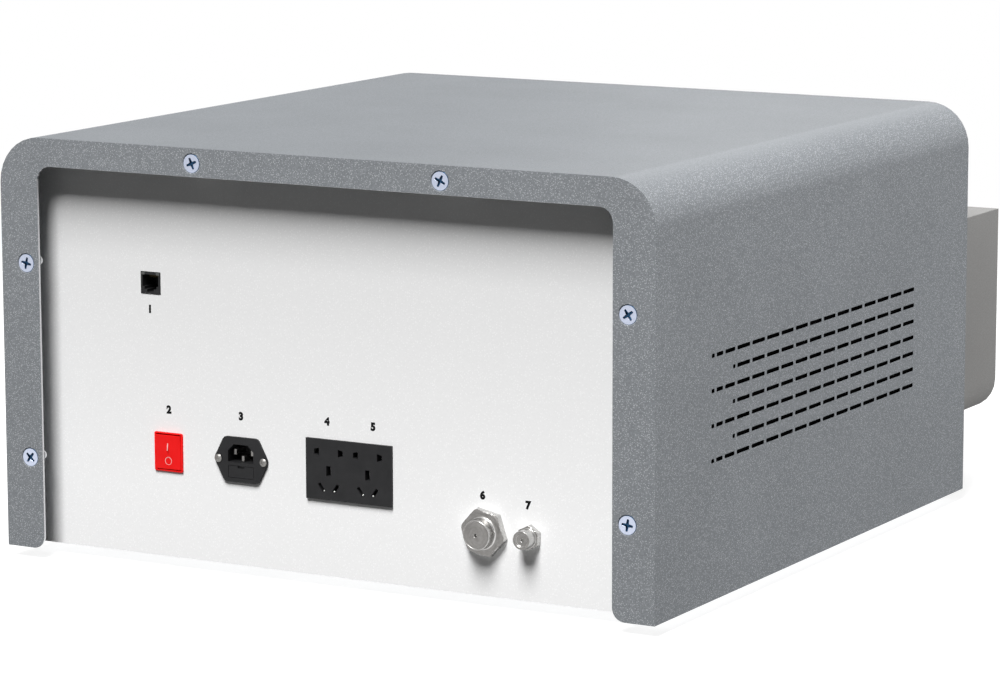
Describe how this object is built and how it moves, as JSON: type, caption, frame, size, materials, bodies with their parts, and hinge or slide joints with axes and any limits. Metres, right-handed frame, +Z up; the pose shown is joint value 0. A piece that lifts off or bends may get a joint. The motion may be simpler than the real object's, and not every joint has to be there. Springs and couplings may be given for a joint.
{
  "type": "optical emission spectrometer",
  "caption": "Benchtop optical emission spectrometer: sheet-metal cabinet with vents, rear connector panel, optics inside and a spark stand with sample clamp in front.",
  "frame": {"origin": "on the bench, under the middle of the cover", "axes": "+Z up; +Y towards the connector panel at the rear; -Y towards the spark stand at the front; the pictured vented side is -X"},
  "size_m": [0.56, 0.7319, 0.3265],
  "materials": {
    "argon_fitting": "turned steel",
    "argon_hose": "clear",
    "argon_inlet_hose": "clear",
    "argon_nut": "turned",
    "base_tray": "zinc-plated sheet",
    "clamp_arm": "machined",
    "clamp_plunger": "turned steel",
    "clamp_post": "turned steel",
    "counter_electrode": "tungsten",
    "cover": "fine textured grey powder coat with pale flecks",
    "cover_screw_1": "blue-white zinc",
    "cover_screw_2": "blue-white zinc",
    "cover_screw_3": "blue-white zinc",
    "cover_screw_4": "blue-white zinc",
    "cover_screw_5": "blue-white zinc",
    "cover_screw_6": "blue-white zinc",
    "detector_bar": "blackened",
    "electrode_base": "pale insulator",
    "entrance_slit": "blackened",
    "fan_bracket": "zinc-plated sheet",
    "fan_frame": "black",
    "fan_rotor": "black",
    "foot_fl": "moulded",
    "foot_fr": "moulded",
    "foot_rl": "moulded",
    "foot_rr": "moulded",
    "front_panel": "white powder coat",
    "fuse_drawer": "matt black",
    "grating": "ruled mirror",
    "grating_mount": "blackened",
    "inlet_body": "matt black",
    "inlet_pin_earth": "nickel plated",
    "inlet_pin_line": "nickel plated",
    "inlet_pin_neutral": "nickel plated",
    "lan_jack": "matt black",
    "lens": "polished",
    "light_tube": "turned",
    "main_board": "green board with black parts",
    "optical_chamber": "painted casting",
    "optical_lid": "milled plate",
    "outlet_block": "matt black",
    "plunger_spring": "spring wire",
    "power_supply": "perforated case",
    "rear_panel": "white powder coat",
    "side_channel_left": "white powder coat",
    "side_channel_right": "white powder coat",
    "spark_cable": "red high-voltage insulation",
    "spark_chamber": "machined",
    "spark_source": "zinc-plated case",
    "spark_table": "ground steel",
    "stand_door": "satin grey",
    "stand_housing": "satin grey",
    "start_button": "green",
    "stop_button": "red",
    "switch_body": "red",
    "switch_rocker": "red",
    "valve_block": "machined, with black coils",
    "waste_fitting": "turned steel",
    "waste_hose": "clear",
    "waste_nut": "turned"
  },
  "bodies": {
    "cabinet": {"cover": "cover", "base_tray": "base_tray", "rear_panel": "rear_panel", "side_channel_left": "side_channel_left", "side_channel_right": "side_channel_right", "front_panel": "front_panel", "lan_jack": "lan_jack", "switch_body": "switch_body", "inlet_body": "inlet_body", "inlet_pin_line": "inlet_pin_line", "inlet_pin_neutral": "inlet_pin_neutral", "inlet_pin_earth": "inlet_pin_earth", "outlet_block": "outlet_block", "waste_fitting": "waste_fitting", "waste_nut": "waste_nut", "argon_fitting": "argon_fitting", "argon_nut": "argon_nut", "stand_housing": "stand_housing", "spark_table": "spark_table", "spark_chamber": "spark_chamber", "electrode_base": "electrode_base", "counter_electrode": "counter_electrode", "light_tube": "light_tube", "lens": "lens", "clamp_post": "clamp_post", "optical_chamber": "optical_chamber", "optical_lid": "optical_lid", "entrance_slit": "entrance_slit", "grating": "grating", "grating_mount": "grating_mount", "detector_bar": "detector_bar", "spark_source": "spark_source", "power_supply": "power_supply", "main_board": "main_board", "fan_bracket": "fan_bracket", "fan_frame": "fan_frame", "valve_block": "valve_block", "argon_inlet_hose": "argon_inlet_hose", "argon_hose": "argon_hose", "waste_hose": "waste_hose", "spark_cable": "spark_cable", "cover_screw_1": "cover_screw_1", "cover_screw_2": "cover_screw_2", "cover_screw_3": "cover_screw_3", "cover_screw_4": "cover_screw_4", "cover_screw_5": "cover_screw_5", "cover_screw_6": "cover_screw_6", "foot_fl": "foot_fl", "foot_fr": "foot_fr", "foot_rl": "foot_rl", "foot_rr": "foot_rr"},
    "rocker": {"switch_rocker": "switch_rocker"},
    "fuse_drawer": {"fuse_drawer": "fuse_drawer"},
    "clamp_arm": {"clamp_arm": "clamp_arm", "plunger_spring": "plunger_spring"},
    "clamp_plunger": {"clamp_plunger": "clamp_plunger"},
    "start_button": {"start_button": "start_button"},
    "stop_button": {"stop_button": "stop_button"},
    "stand_door": {"stand_door": "stand_door"},
    "fan_rotor": {"fan_rotor": "fan_rotor"}
  },
  "joints": [
    {"name": "rocker_tilt", "type": "hinge", "parent": "cabinet", "child": "rocker", "pos_m": [0.1462, 0.2488, 0.0902], "axis": [1, 0, 0], "range_deg": [0, 6.4]},
    {"name": "fuse_drawer_slide", "type": "slide", "parent": "cabinet", "child": "fuse_drawer", "axis": [0, 1, 0], "range_m": [0, 0.018]},
    {"name": "clamp_swing", "type": "hinge", "parent": "cabinet", "child": "clamp_arm", "pos_m": [-0.058, -0.318, 0.271], "axis": [0, 0, 1], "range_deg": [0, 100]},
    {"name": "plunger_lift", "type": "slide", "parent": "clamp_arm", "child": "clamp_plunger", "axis": [0, 0, 1], "range_m": [0, 0.012], "stiffness_N_per_m": 400, "springref_m": -0.01, "deforming": ["plunger_spring"]},
    {"name": "start_press", "type": "slide", "parent": "cabinet", "child": "start_button", "axis": [0, 1, 0], "range_m": [0, 0.004], "stiffness_N_per_m": 600, "springref_m": -0.002},
    {"name": "stop_press", "type": "slide", "parent": "cabinet", "child": "stop_button", "axis": [0, 1, 0], "range_m": [0, 0.004], "stiffness_N_per_m": 600, "springref_m": -0.002},
    {"name": "stand_door_hinge", "type": "hinge", "parent": "cabinet", "child": "stand_door", "pos_m": [-0.048, -0.4341, 0.067], "axis": [0, 0, 1], "range_deg": [0, 110]},
    {"name": "fan_spin", "type": "hinge", "parent": "cabinet", "child": "fan_rotor", "pos_m": [0.257, 0.06, 0.151], "axis": [1, 0, 0], "continuous": true}
  ]
}
